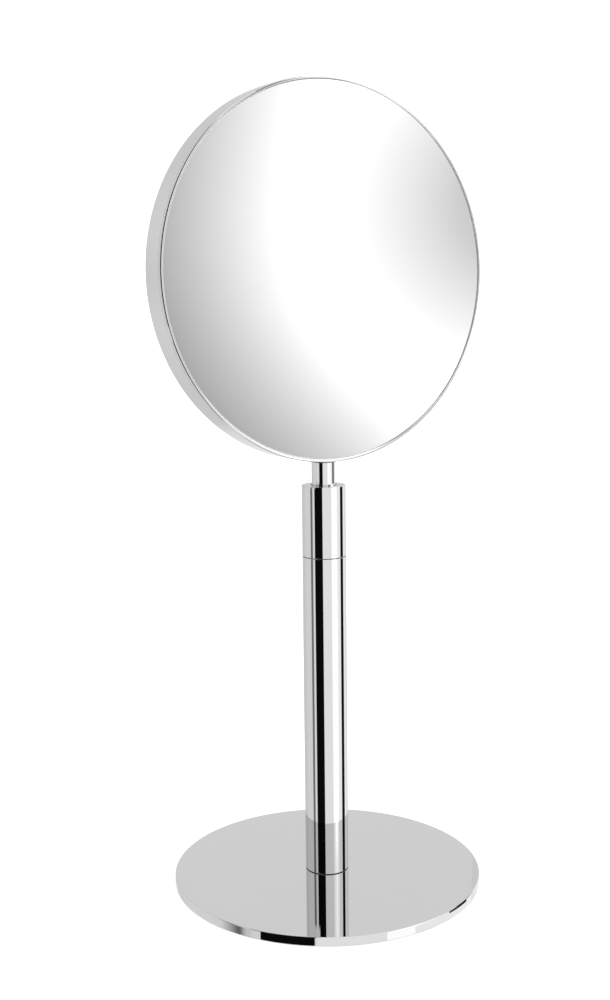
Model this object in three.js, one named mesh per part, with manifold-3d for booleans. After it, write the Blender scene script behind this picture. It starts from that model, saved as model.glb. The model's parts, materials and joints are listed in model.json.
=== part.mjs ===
// Extendable shaving mirror: a round base plate, a tube with a twist-lock collar, a rod that slides and
// turns in the tube, and a shallow round mirror head that tilts on the top of the rod.
// Millimetres, +Z up. The origin is the centre of the base's underside, and the mirror faces -Y.
import * as THREE from "three";
import { mergeVertices } from "three/addons/utils/BufferGeometryUtils.js";
import Module from "manifold-3d";

// ---- driving dimensions ----
const BASE_D = 156;
const BASE_TOP = 4.5;
const TUBE_D = 22;
const TUBE_WALL = 1;
const ROD_D = 12;
const ROD_WALL = 1;
const COLLAR_BOTTOM = 167.9;
const COLLAR_TOP = 203.4;
const HEAD_D = 182;
const HEAD_CENTRE = 306.45;
const HEAD_FRONT = -10;
const HEAD_BACK = 6;
const BEZEL_LIP = 1.65;
const PIVOT_HEIGHT = 225;
const ROD_TOP = 215;
const TRAVEL = 115;

// ---- fits and small features ----
const PRESS_GAP = 0.1;
const LOOSE_GAP = 0.3;
const SKIN_GAP = 0.05;
const EDGE_BREAK = 0.4;
const OVERCUT = 1;
const LARGE_SEGMENTS = 72;
const TUBE_SEGMENTS = 36;
const SMALL_SEGMENTS = 16;
const ROUNDING_STEPS = 3;
const HEX_SIDES = 6;

// ---- base ----
const BASE_UNDERSIDE = 0.2;
const PAD_THICKNESS = 1.2;
const PAD_OUTER_R = 74;
const PAD_INNER_R = 12;
const BASE_SCREW = { shaftR: 3, headR: 6, top: 17, socketR: 2.3, socketDepth: 2 };
const PIN = { r: 1.5, offset: 7.2, bottom: 2.7, top: 8 };

// ---- tube and what it holds ----
const TUBE_R = TUBE_D / 2;
const TUBE_BORE_R = TUBE_R - TUBE_WALL;
const SEAM_THICKNESS = 0.3;
const SEAM_INSET = 0.25;
const TUBE_BOTTOM = BASE_TOP + SEAM_THICKNESS;
const TUBE_TOP = COLLAR_BOTTOM - SEAM_THICKNESS;
const PLUG_TOP = 22;
const BUFFER = { innerR: 4, outerR: 9.5, height: 2.5 };
const SLIDER_BOTTOM = PLUG_TOP + BUFFER.height;
const SLIDER_TOP = SLIDER_BOTTOM + 12;
const END_GAP = 0.5;
const BUSHING_BOTTOM = SLIDER_TOP + TRAVEL + END_GAP;
const BUSHING_THREAD_R = 8;
const BUSHING_TOP = COLLAR_BOTTOM + 10;

// ---- rod ----
const ROD_R = ROD_D / 2;
const ROD_BORE_R = ROD_R - ROD_WALL;
const ROD_SEAT = 5.2;
const ROD_BOTTOM = SLIDER_BOTTOM + ROD_SEAT;
const RUNNING_R = ROD_R + PRESS_GAP;
const SLIDER_CLEARANCE = 0.15;
const ROD_PLUG_TOP = ROD_BOTTOM + 10;
const SLIDER_SCREW = { shaftR: 1.95, headR: 3.9, top: ROD_PLUG_TOP - 2, socketR: 1.4, socketDepth: 1.3 };
const SLIDER_SCREW_RECESS = 0.2;
const SLIDER_GROOVE = { bottom: SLIDER_BOTTOM + 6.5, width: 2.2, floorR: 7.95 };
const O_RING = { centreR: 8.95, sectionR: 0.9, sectionSides: 6 };
const KNUCKLE_PLUG = { depth: 15, rise: 0.2 };

// ---- collar ----
const COLLAR_THREAD_R = BUSHING_THREAD_R + 0.15;
const COLLAR_MOUTH_R = ROD_R + 0.4;
const CONE = { bottom: COLLAR_BOTTOM + 14, top: COLLAR_TOP - 7.4, topR: 7.2 };
const WIPER_GROOVE = { bottom: COLLAR_TOP - 5.2, top: COLLAR_TOP - 2.6, r: 8 };
const COLLET = { bottom: BUSHING_TOP + 0.4, coneBottom: 181, top: 195.5, baseR: 7.6, topR: 6.95 };
const COLLET_SLOT = { count: 2, width: 1.2, bottom: 184 };

// ---- head ----
const HEAD_R = HEAD_D / 2;
const CASING_WALL = 0.7;
const CASING_FRONT = HEAD_FRONT + 2;
const CASING_CORNER_R = 0.8;
const LIP_OUTER_ROUNDING = 1;
const LIP_INNER_ROUNDING = 0.6;
const BEZEL_INNER_R = HEAD_R - BEZEL_LIP;
const SPIGOT_PLAY = 0.2;
const SPIGOT_R = HEAD_R - CASING_WALL - SPIGOT_PLAY;
const SPIGOT_BACK = -5;
const GLASS = { r: BEZEL_INNER_R - SKIN_GAP, thickness: 2, rimFront: HEAD_FRONT + 0.9, curvatureR: 800 };
const FILM = { thickness: 0.25, inset: 0.5 };
const CARRIER = { thickness: 1.5, innerWallR: 86.5, flangeFront: SPIGOT_BACK + 0.1, flangeBack: -3.4 };
const FOAM = { innerR: 36, outerR: 50 };
const BOWL_STEPS = 3;
const NOTCH = { halfWidth: 6.6, top: 222 - HEAD_CENTRE, carrierTop: 222.5 - HEAD_CENTRE };

// ---- tilt hinge, measured from the pivot ----
const PIVOT = PIVOT_HEIGHT - HEAD_CENTRE;
const EYE_R = 4.2;
const EYE_JOIN_DEGREES = 56;
const NECK_HALF_DEPTH = 3.5;
const TONGUE_HALF_WIDTH = 2.5;
const WASHER_THICKNESS = 0.45;
const WASHER_INSET = 0.2;
const EAR_THICKNESS = 2;
const EAR_INSIDE = TONGUE_HALF_WIDTH + WASHER_THICKNESS + 2 * SKIN_GAP;
const EAR_OUTSIDE = EAR_INSIDE + EAR_THICKNESS;
const PIVOT_SCREW = { r: 1.95, headR: 3.5, headLength: 2.9, end: 9.5, socketR: 1.6, socketDepth: 1.6 };
const PIVOT_BORE_R = 2.05;
const SPRING_WASHER = { innerR: 2.1, outerR: 3.8, thickness: 1, splitDegrees: 8 };
const PIVOT_NUT = { cornerR: 4.04, thickness: 3 };
const BRACKET = { halfWidth: 13, bottom: 6, top: 26, thickness: 1.5, earTop: 18, earFront: -1 };
const STUD = { r: 1.5, holeR: 1.7, x: 9.5, z: 20, front: -0.5 };
const STUD_NUT = { cornerR: 3.1, thickness: 2.4 };

// ---- materials ----
const CHROME = { color: 0xd0d0d1, roughness: 0.06, metalness: 1 };
const MIRROR = { color: 0xf4f6f7, roughness: 0.02, metalness: 1 };
const BRASS = { color: 0xc8a24e, roughness: 0.35, metalness: 1 };
const STEEL = { color: 0x9a9ea3, roughness: 0.35, metalness: 1 };
const RUBBER = { color: 0x1c1c1d, roughness: 0.85, metalness: 0 };
const NYLON = { color: 0xe6e3d8, roughness: 0.5, metalness: 0 };
const BLACK_PLASTIC = { color: 0x26272a, roughness: 0.5, metalness: 0 };
const FOAM_GREY = { color: 0x55585c, roughness: 0.95, metalness: 0 };
const FILM_GREY = { color: 0x3b3e42, roughness: 0.6, metalness: 0 };

const wasm = await Module();
wasm.setup();

/** A named mesh with its own material. */
function piece(name, geometry, finish) {
  const mesh = new THREE.Mesh(geometry, new THREE.MeshStandardMaterial(finish));
  mesh.name = name;
  return mesh;
}

/** Points on an arc of an outline, angles in degrees, both ends included. */
function arc(centreX, centreY, radius, startDegrees, endDegrees, steps) {
  const points = [];
  for (let step = 0; step <= steps; step += 1) {
    const angle = THREE.MathUtils.degToRad(startDegrees + ((endDegrees - startDegrees) * step) / steps);
    points.push([centreX + radius * Math.cos(angle), centreY + radius * Math.sin(angle)]);
  }
  return points;
}

/** Turns an outline of [radius, height] points, anticlockwise, about the Y axis. */
function turnedAboutY(outline, segments) {
  return new THREE.LatheGeometry(outline.map(([r, height]) => new THREE.Vector2(r, height)), segments);
}

/** The same about the Z axis, with the outline's heights along +Z. */
function turnedAboutZ(outline, segments) {
  return turnedAboutY(outline, segments).rotateX(Math.PI / 2);
}

/** The same about the X axis, with the outline's heights along +X. */
function turnedAboutX(outline, segments) {
  return turnedAboutY(outline, segments).rotateZ(-Math.PI / 2);
}

/** Outline of a solid bar from the axis, with its outer edges broken. */
function barOutline(radius, bottom, top, edge) {
  return [
    [0, bottom],
    [radius - edge, bottom],
    [radius, bottom + edge],
    [radius, top - edge],
    [radius - edge, top],
    [0, top],
  ];
}

/** Closed outline of a ring, with its outer edges broken. */
function ringOutline(innerR, outerR, bottom, top, edge = 0) {
  const outer = edge > 0
    ? [[outerR - edge, bottom], [outerR, bottom + edge], [outerR, top - edge], [outerR - edge, top]]
    : [[outerR, bottom], [outerR, top]];
  return [[innerR, bottom], ...outer, [innerR, top], [innerR, bottom]];
}

/** A regular hexagon with a round hole, extruded along +Z from zero. */
function hexNut(cornerR, holeR, thickness) {
  const corners = arc(0, 0, cornerR, 0, 360, HEX_SIDES).slice(1);
  const shape = new THREE.Shape(corners.map(([x, y]) => new THREE.Vector2(x, y)));
  shape.holes.push(new THREE.Path().absarc(0, 0, holeR, 0, 2 * Math.PI, true));
  return new THREE.ExtrudeGeometry(shape, { depth: thickness, bevelEnabled: false, curveSegments: 8 });
}

/** The closed solid of a geometry, with only its positions kept and shared vertices merged. */
function solid(geometry) {
  const bare = geometry.clone();
  bare.deleteAttribute("normal");
  bare.deleteAttribute("uv");
  const merged = mergeVertices(bare);
  return new wasm.Manifold(new wasm.Mesh({
    numProp: 3,
    vertProperties: merged.attributes.position.array,
    triVerts: Uint32Array.from(merged.index.array),
  }));
}

/** The geometry of a solid, for a mesh. */
function geometryOf(body) {
  const mesh = body.getMesh();
  const geometry = new THREE.BufferGeometry();
  geometry.setAttribute("position", new THREE.BufferAttribute(mesh.vertProperties, 3));
  geometry.setIndex(new THREE.BufferAttribute(mesh.triVerts, 1));
  geometry.computeVertexNormals();
  return geometry;
}

/** A geometry with other geometries cut out of it. */
function cut(geometry, ...tools) {
  return geometryOf(tools.reduce((body, tool) => body.subtract(solid(tool)), solid(geometry)));
}

/** Several geometries joined into one. */
function joined(first, ...others) {
  return geometryOf(others.reduce((body, other) => body.add(solid(other)), solid(first)));
}

/** A block between two corners. */
function block([x0, y0, z0], [x1, y1, z1]) {
  const box = new THREE.BoxGeometry(x1 - x0, y1 - y0, z1 - z0);
  return box.translate((x0 + x1) / 2, (y0 + y1) / 2, (z0 + z1) / 2);
}

/** A countersunk screw along +Z, its head's flat face down, with a hexagon socket in the head. */
function countersunkScrew(headBottom, { shaftR, headR, top, socketR, socketDepth }) {
  const coneTop = headBottom + headR - shaftR;
  const outline = [
    [0, headBottom],
    [headR, headBottom],
    [shaftR, coneTop],
    [shaftR, top - EDGE_BREAK],
    [shaftR - EDGE_BREAK, top],
    [0, top],
  ];
  const socket = new THREE.CylinderGeometry(socketR, socketR, 2 * socketDepth, HEX_SIDES).rotateX(Math.PI / 2);
  return cut(turnedAboutZ(outline, SMALL_SEGMENTS), socket.translate(0, 0, headBottom));
}

// ---- base and foot ----

/** A blind hole for the locating pin. */
function pinHole(bottom, top) {
  const hole = turnedAboutZ(barOutline(PIN.r + SKIN_GAP, bottom, top, 0), SMALL_SEGMENTS);
  return hole.translate(PIN.offset, 0, 0);
}

function basePlate() {
  const baseR = BASE_D / 2;
  const holeR = BASE_SCREW.shaftR + LOOSE_GAP;
  const countersinkR = BASE_SCREW.headR + LOOSE_GAP;
  const recessR = PAD_OUTER_R + LOOSE_GAP;
  const outline = [
    [holeR, PAD_THICKNESS + countersinkR - holeR],
    [countersinkR, PAD_THICKNESS],
    [recessR, PAD_THICKNESS],
    [recessR, BASE_UNDERSIDE],
    [baseR - EDGE_BREAK, BASE_UNDERSIDE],
    [baseR, BASE_UNDERSIDE + EDGE_BREAK],
    [baseR, BASE_TOP - EDGE_BREAK],
    [baseR - EDGE_BREAK, BASE_TOP],
    [holeR, BASE_TOP],
    [holeR, PAD_THICKNESS + countersinkR - holeR],
  ];
  const plate = turnedAboutZ(outline, LARGE_SEGMENTS);
  return piece("base_plate", cut(plate, pinHole(PIN.bottom - PRESS_GAP, BASE_TOP + OVERCUT)), CHROME);
}

function nonSlipPad() {
  const outline = ringOutline(PAD_INNER_R, PAD_OUTER_R, 0, PAD_THICKNESS);
  return piece("non_slip_pad", turnedAboutZ(outline, LARGE_SEGMENTS), RUBBER);
}

function baseScrew() {
  return piece("base_screw", countersunkScrew(PAD_THICKNESS, BASE_SCREW), STEEL);
}

function locatingPin() {
  const pin = turnedAboutZ(barOutline(PIN.r, PIN.bottom, PIN.top, EDGE_BREAK), SMALL_SEGMENTS);
  return piece("locating_pin", pin.translate(PIN.offset, 0, 0), STEEL);
}

function footGasket() {
  const outline = ringOutline(TUBE_BORE_R, TUBE_R - SEAM_INSET, BASE_TOP, TUBE_BOTTOM);
  return piece("foot_gasket", turnedAboutZ(outline, TUBE_SEGMENTS), RUBBER);
}

function footPlug() {
  const outline = ringOutline(BASE_SCREW.shaftR + SKIN_GAP, TUBE_BORE_R - PRESS_GAP, BASE_TOP, PLUG_TOP);
  const plug = turnedAboutZ(outline, TUBE_SEGMENTS);
  return piece("foot_plug", cut(plug, pinHole(BASE_TOP - OVERCUT, PIN.top + PRESS_GAP)), BRASS);
}

// ---- tube and what is fixed in it ----

function bottomBuffer() {
  const outline = ringOutline(BUFFER.innerR, BUFFER.outerR, PLUG_TOP, SLIDER_BOTTOM);
  return piece("bottom_buffer", turnedAboutZ(outline, TUBE_SEGMENTS), RUBBER);
}

function lowerTube() {
  const outline = ringOutline(TUBE_BORE_R, TUBE_R, TUBE_BOTTOM, TUBE_TOP, SEAM_INSET);
  return piece("lower_tube", turnedAboutZ(outline, TUBE_SEGMENTS), CHROME);
}

function threadedBushing() {
  const bodyR = TUBE_BORE_R - PRESS_GAP;
  const outline = [
    [RUNNING_R, BUSHING_BOTTOM],
    [bodyR, BUSHING_BOTTOM],
    [bodyR, TUBE_TOP],
    [BUSHING_THREAD_R, TUBE_TOP],
    [BUSHING_THREAD_R, BUSHING_TOP],
    [RUNNING_R, BUSHING_TOP],
    [RUNNING_R, BUSHING_BOTTOM],
  ];
  return piece("threaded_bushing", turnedAboutZ(outline, TUBE_SEGMENTS), BRASS);
}

function seamWasher() {
  const outline = ringOutline(COLLAR_THREAD_R, TUBE_R - SEAM_INSET, TUBE_TOP, COLLAR_BOTTOM);
  return piece("seam_washer", turnedAboutZ(outline, TUBE_SEGMENTS), BLACK_PLASTIC);
}

function collet() {
  const outline = [
    [RUNNING_R, COLLET.bottom],
    [COLLET.baseR, COLLET.bottom],
    [COLLET.baseR, COLLET.coneBottom],
    [COLLET.topR, COLLET.top],
    [RUNNING_R, COLLET.top],
    [RUNNING_R, COLLET.bottom],
  ];
  const reach = COLLET.baseR + OVERCUT;
  const slots = [];
  for (let index = 0; index < COLLET_SLOT.count; index += 1) {
    const low = [-reach, -COLLET_SLOT.width / 2, COLLET_SLOT.bottom];
    const high = [reach, COLLET_SLOT.width / 2, COLLET.top + OVERCUT];
    slots.push(block(low, high).rotateZ((index * Math.PI) / COLLET_SLOT.count));
  }
  return piece("collet", cut(turnedAboutZ(outline, TUBE_SEGMENTS), ...slots), NYLON);
}

// ---- twist-lock collar ----

function collar() {
  const outline = [
    [COLLAR_THREAD_R, COLLAR_BOTTOM],
    [TUBE_R - SEAM_INSET, COLLAR_BOTTOM],
    [TUBE_R, COLLAR_BOTTOM + SEAM_INSET],
    [TUBE_R, COLLAR_TOP - EDGE_BREAK],
    [TUBE_R - EDGE_BREAK, COLLAR_TOP],
    [COLLAR_MOUTH_R, COLLAR_TOP],
    [COLLAR_MOUTH_R, WIPER_GROOVE.top],
    [WIPER_GROOVE.r, WIPER_GROOVE.top],
    [WIPER_GROOVE.r, WIPER_GROOVE.bottom],
    [CONE.topR, WIPER_GROOVE.bottom],
    [CONE.topR, CONE.top],
    [COLLAR_THREAD_R, CONE.bottom],
    [COLLAR_THREAD_R, COLLAR_BOTTOM],
  ];
  return piece("collar", turnedAboutZ(outline, TUBE_SEGMENTS), CHROME);
}

function wiperRing() {
  const bottom = WIPER_GROOVE.bottom + PRESS_GAP;
  const top = WIPER_GROOVE.top - PRESS_GAP;
  const outline = ringOutline(RUNNING_R, WIPER_GROOVE.r - PRESS_GAP, bottom, top);
  return piece("wiper_ring", turnedAboutZ(outline, TUBE_SEGMENTS), RUBBER);
}

// ---- slider ----

function slider() {
  const outerR = TUBE_BORE_R - SLIDER_CLEARANCE;
  const holeR = SLIDER_SCREW.shaftR + SLIDER_CLEARANCE;
  const countersinkR = SLIDER_SCREW.headR + SLIDER_SCREW_RECESS + SLIDER_CLEARANCE;
  const grooveTop = SLIDER_GROOVE.bottom + SLIDER_GROOVE.width;
  const socketFloor = ROD_BOTTOM - SLIDER_CLEARANCE;
  const outline = [
    [holeR, SLIDER_BOTTOM + countersinkR - holeR],
    [countersinkR, SLIDER_BOTTOM],
    [outerR - EDGE_BREAK, SLIDER_BOTTOM],
    [outerR, SLIDER_BOTTOM + EDGE_BREAK],
    [outerR, SLIDER_GROOVE.bottom],
    [SLIDER_GROOVE.floorR, SLIDER_GROOVE.bottom],
    [SLIDER_GROOVE.floorR, grooveTop],
    [outerR, grooveTop],
    [outerR, SLIDER_TOP - EDGE_BREAK],
    [outerR - EDGE_BREAK, SLIDER_TOP],
    [RUNNING_R, SLIDER_TOP],
    [RUNNING_R, socketFloor],
    [holeR, socketFloor],
    [holeR, SLIDER_BOTTOM + countersinkR - holeR],
  ];
  return piece("slider", turnedAboutZ(outline, TUBE_SEGMENTS), NYLON);
}

function sliderORing() {
  const ring = new THREE.TorusGeometry(O_RING.centreR, O_RING.sectionR, O_RING.sectionSides, TUBE_SEGMENTS);
  const height = SLIDER_GROOVE.bottom + SLIDER_GROOVE.width / 2;
  return piece("slider_o_ring", ring.translate(0, 0, height), RUBBER);
}

// ---- rod ----

function rodTube() {
  const outline = ringOutline(ROD_BORE_R, ROD_R, ROD_BOTTOM, ROD_TOP, EDGE_BREAK);
  return piece("rod_tube", turnedAboutZ(outline, TUBE_SEGMENTS), CHROME);
}

function rodPlug() {
  const innerR = SLIDER_SCREW.shaftR + SKIN_GAP;
  const outline = ringOutline(innerR, ROD_BORE_R - PRESS_GAP, ROD_BOTTOM, ROD_PLUG_TOP);
  return piece("rod_plug", turnedAboutZ(outline, SMALL_SEGMENTS), BRASS);
}

function sliderScrew() {
  return piece("slider_screw", countersunkScrew(SLIDER_BOTTOM + SLIDER_SCREW_RECESS, SLIDER_SCREW), STEEL);
}

/** The plug in the rod's top, with a flat neck up to an eye for the pivot screw. */
function knuckle() {
  const plugR = ROD_BORE_R - PRESS_GAP;
  const plugBottom = ROD_TOP - KNUCKLE_PLUG.depth;
  const plugTop = ROD_TOP + KNUCKLE_PLUG.rise;
  const plug = turnedAboutZ(barOutline(plugR, plugBottom, plugTop, EDGE_BREAK), SMALL_SEGMENTS);
  const neckBottom = plugTop - PIVOT_HEIGHT - OVERCUT;
  const eye = arc(0, 0, EYE_R, -EYE_JOIN_DEGREES, 180 + EYE_JOIN_DEGREES, SMALL_SEGMENTS);
  const side = [[-NECK_HALF_DEPTH, neckBottom], [NECK_HALF_DEPTH, neckBottom], ...eye];
  const tongue = sidePlate(side, -TONGUE_HALF_WIDTH, TONGUE_HALF_WIDTH).translate(0, 0, PIVOT_HEIGHT);
  const bore = pivotBore().translate(0, 0, PIVOT_HEIGHT);
  return piece("knuckle", cut(joined(plug, tongue), bore), STEEL);
}

// ---- tilt hinge ----

/** A flat plate seen from the side, its outline in Y and Z, between two places along X. */
function sidePlate(outline, left, right) {
  const shape = new THREE.Shape(outline.map(([y, z]) => new THREE.Vector2(y, z)));
  const plate = new THREE.ExtrudeGeometry(shape, { depth: right - left, bevelEnabled: false });
  const yzx = new THREE.Matrix4().set(0, 0, 1, left, 1, 0, 0, 0, 0, 1, 0, 0, 0, 0, 0, 1);
  return plate.applyMatrix4(yzx);
}

/** The pivot screw's hole, along X through the pivot. */
function pivotBore() {
  const reach = EAR_OUTSIDE + OVERCUT;
  return turnedAboutX(barOutline(PIVOT_BORE_R, -reach, reach, 0), SMALL_SEGMENTS);
}

function frictionWasher(name, side) {
  const near = TONGUE_HALF_WIDTH + SKIN_GAP;
  const far = near + WASHER_THICKNESS;
  const [low, high] = side > 0 ? [near, far] : [-far, -near];
  const outline = ringOutline(PIVOT_BORE_R + SKIN_GAP, EYE_R - WASHER_INSET, low, high);
  return piece(name, turnedAboutX(outline, SMALL_SEGMENTS).translate(0, 0, PIVOT), BLACK_PLASTIC);
}

function pivotScrew() {
  const headRight = -EAR_OUTSIDE - SKIN_GAP;
  const headLeft = headRight - PIVOT_SCREW.headLength;
  const outline = [
    [0, headLeft],
    [PIVOT_SCREW.headR - EDGE_BREAK, headLeft],
    [PIVOT_SCREW.headR, headLeft + EDGE_BREAK],
    [PIVOT_SCREW.headR, headRight],
    [PIVOT_SCREW.r, headRight],
    [PIVOT_SCREW.r, PIVOT_SCREW.end - EDGE_BREAK],
    [PIVOT_SCREW.r - EDGE_BREAK, PIVOT_SCREW.end],
    [0, PIVOT_SCREW.end],
  ];
  const depth = 2 * PIVOT_SCREW.socketDepth;
  const socket = new THREE.CylinderGeometry(PIVOT_SCREW.socketR, PIVOT_SCREW.socketR, depth, HEX_SIDES);
  socket.rotateZ(Math.PI / 2).translate(headLeft, 0, 0);
  const screw = cut(turnedAboutX(outline, SMALL_SEGMENTS), socket);
  return piece("pivot_screw", screw.translate(0, 0, PIVOT), STEEL);
}

/** A flat ring with a narrow split at its top. */
function springWasher() {
  const start = 90 + SPRING_WASHER.splitDegrees / 2;
  const end = start + 360 - SPRING_WASHER.splitDegrees;
  const outer = arc(0, 0, SPRING_WASHER.outerR, start, end, SMALL_SEGMENTS);
  const inner = arc(0, 0, SPRING_WASHER.innerR, end, start, SMALL_SEGMENTS);
  const left = EAR_OUTSIDE + SKIN_GAP;
  const ring = sidePlate([...outer, ...inner], left, left + SPRING_WASHER.thickness);
  return piece("spring_washer", ring.translate(0, 0, PIVOT), STEEL);
}

function pivotNut() {
  const left = EAR_OUTSIDE + SPRING_WASHER.thickness + 2 * SKIN_GAP;
  const nut = hexNut(PIVOT_NUT.cornerR, PIVOT_SCREW.r + SKIN_GAP, PIVOT_NUT.thickness);
  return piece("pivot_nut", nut.rotateY(Math.PI / 2).translate(left, 0, PIVOT), STEEL);
}

/** A plate on the casing's back with two ears that reach forward and down to the pivot. */
function hingeBracket() {
  const back = HEAD_BACK - CASING_WALL;
  const front = back - BRACKET.thickness;
  const plate = block([-BRACKET.halfWidth, front, BRACKET.bottom], [BRACKET.halfWidth, back, BRACKET.top]);
  const eye = arc(0, 0, EYE_R, 180, 360, SMALL_SEGMENTS / 2);
  const side = [...eye, [EYE_R, BRACKET.earTop], [BRACKET.earFront, BRACKET.earTop]];
  const leftEar = sidePlate(side, -EAR_OUTSIDE, -EAR_INSIDE);
  const rightEar = sidePlate(side, EAR_INSIDE, EAR_OUTSIDE);
  const studHole = turnedAboutY(barOutline(STUD.holeR, front - OVERCUT, back + OVERCUT, 0), SMALL_SEGMENTS);
  const leftHole = studHole.clone().translate(-STUD.x, 0, STUD.z);
  const rightHole = studHole.clone().translate(STUD.x, 0, STUD.z);
  const bracket = cut(joined(plate, leftEar, rightEar), pivotBore(), leftHole, rightHole);
  return piece("hinge_bracket", bracket.translate(0, 0, PIVOT), STEEL);
}

function bracketStud(name, x) {
  const outline = barOutline(STUD.r, STUD.front, HEAD_BACK - CASING_WALL, EDGE_BREAK);
  return piece(name, turnedAboutY(outline, SMALL_SEGMENTS).translate(x, 0, PIVOT + STUD.z), STEEL);
}

function bracketNut(name, x) {
  const back = HEAD_BACK - CASING_WALL - BRACKET.thickness;
  const nut = hexNut(STUD_NUT.cornerR, STUD.r + SKIN_GAP, STUD_NUT.thickness).rotateX(Math.PI / 2);
  return piece(name, nut.translate(x, back, PIVOT + STUD.z), STEEL);
}

// ---- mirror and its case ----

/** How far back the glass's hollow front lies at a distance from the mirror's centre. */
function bowlDepth(r) {
  const sphere = (radius) => Math.sqrt(GLASS.curvatureR ** 2 - radius ** 2);
  return GLASS.rimFront + sphere(r) - sphere(GLASS.r);
}

/** Outline points along the bowl, set back by an offset, from one radius to another. */
function bowl(startR, endR, offset) {
  const points = [];
  for (let step = 0; step <= BOWL_STEPS; step += 1) {
    const r = startR + ((endR - startR) * step) / BOWL_STEPS;
    points.push([r, bowlDepth(r) + offset]);
  }
  return points;
}

/** The opening at the case's bottom edge that the rod swings in. */
function notch(front, top) {
  const low = [-NOTCH.halfWidth, front, -HEAD_R - OVERCUT];
  return block(low, [NOTCH.halfWidth, HEAD_BACK + OVERCUT, top]);
}

function casing() {
  const innerR = HEAD_R - CASING_WALL;
  const innerBack = HEAD_BACK - CASING_WALL;
  const cornerY = HEAD_BACK - CASING_CORNER_R;
  const outline = [
    [0, innerBack],
    [innerR, innerBack],
    [innerR, CASING_FRONT],
    [HEAD_R, CASING_FRONT],
    ...arc(HEAD_R - CASING_CORNER_R, cornerY, CASING_CORNER_R, 0, 90, ROUNDING_STEPS),
    [0, HEAD_BACK],
  ];
  const cup = turnedAboutY(outline, LARGE_SEGMENTS);
  return piece("casing", cut(cup, notch(CASING_FRONT - OVERCUT, NOTCH.top)), CHROME);
}

/** The narrow rounded lip, with a spigot behind it that fits inside the casing. */
function bezelRing() {
  const inner = LIP_INNER_ROUNDING;
  const outer = LIP_OUTER_ROUNDING;
  const outline = [
    ...arc(BEZEL_INNER_R + inner, HEAD_FRONT + inner, inner, 180, 270, ROUNDING_STEPS),
    ...arc(HEAD_R - outer, HEAD_FRONT + outer, outer, 270, 360, ROUNDING_STEPS),
    [HEAD_R, CASING_FRONT],
    [SPIGOT_R, CASING_FRONT],
    [SPIGOT_R, SPIGOT_BACK],
    [BEZEL_INNER_R, SPIGOT_BACK],
    [BEZEL_INNER_R, HEAD_FRONT + inner],
  ];
  const ring = turnedAboutY(outline, LARGE_SEGMENTS);
  return piece("bezel_ring", cut(ring, notch(CASING_FRONT + PRESS_GAP, NOTCH.top)), CHROME);
}

function mirrorGlass() {
  const outline = [...bowl(0, GLASS.r, 0), ...bowl(GLASS.r, 0, GLASS.thickness)];
  return piece("mirror_glass", turnedAboutY(outline, LARGE_SEGMENTS), MIRROR);
}

function safetyFilm() {
  const front = GLASS.thickness + SKIN_GAP;
  const edgeR = GLASS.r - FILM.inset;
  const outline = [...bowl(0, edgeR, front), ...bowl(edgeR, 0, front + FILM.thickness)];
  return piece("safety_film", turnedAboutY(outline, LARGE_SEGMENTS), FILM_GREY);
}

/** How far behind the glass's front the carrier's own front lies. */
function carrierOffset() {
  return GLASS.thickness + FILM.thickness + 2 * SKIN_GAP;
}

/** A dish behind the glass, its rim turned out behind the bezel's spigot. */
function mirrorCarrier() {
  const front = carrierOffset();
  const outline = [
    ...bowl(0, GLASS.r, front),
    [GLASS.r, CARRIER.flangeFront],
    [SPIGOT_R, CARRIER.flangeFront],
    [SPIGOT_R, CARRIER.flangeBack],
    [CARRIER.innerWallR, CARRIER.flangeBack],
    ...bowl(CARRIER.innerWallR, 0, front + CARRIER.thickness),
  ];
  const dish = turnedAboutY(outline, LARGE_SEGMENTS);
  const dishBack = bowlDepth(CARRIER.innerWallR) + front + CARRIER.thickness;
  return piece("mirror_carrier", cut(dish, notch(dishBack, NOTCH.carrierTop)), BLACK_PLASTIC);
}

function foamRing() {
  const front = carrierOffset() + CARRIER.thickness + LOOSE_GAP;
  const back = HEAD_BACK - CASING_WALL - SKIN_GAP;
  const face = bowl(FOAM.innerR, FOAM.outerR, front);
  const outline = [...face, [FOAM.outerR, back], [FOAM.innerR, back], face[0]];
  return piece("foam_ring", turnedAboutY(outline, TUBE_SEGMENTS), FOAM_GREY);
}

// ---- assembly ----

function group(...parts) {
  return new THREE.Group().add(...parts);
}

const stand = group(
  basePlate(),
  nonSlipPad(),
  baseScrew(),
  locatingPin(),
  footGasket(),
  footPlug(),
  bottomBuffer(),
  lowerTube(),
  threadedBushing(),
  seamWasher(),
  collet(),
);
const lock = group(collar(), wiperRing());
const guide = group(slider(), sliderORing());
const rod = group(rodTube(), rodPlug(), sliderScrew(), knuckle());
const head = group(
  casing(),
  bezelRing(),
  mirrorGlass(),
  safetyFilm(),
  mirrorCarrier(),
  foamRing(),
  hingeBracket(),
  bracketStud("bracket_stud_left", -STUD.x),
  bracketStud("bracket_stud_right", STUD.x),
  bracketNut("bracket_nut_left", -STUD.x),
  bracketNut("bracket_nut_right", STUD.x),
  pivotScrew(),
  springWasher(),
  pivotNut(),
  frictionWasher("friction_washer_left", -1),
  frictionWasher("friction_washer_right", 1),
);
head.position.set(0, 0, HEAD_CENTRE);

const shavingMirror = group(stand, lock, guide, rod, head);
export default shavingMirror;
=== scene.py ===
"""Extendable shaving mirror: polished chrome stand and head round a concave glass, in a small light tent.

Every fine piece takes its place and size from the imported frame. Metres, +Z up, the mirror faces -Y.
"""
import json
import math

import bmesh
import bpy
import numpy as np
from mathutils import Matrix, Vector


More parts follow.
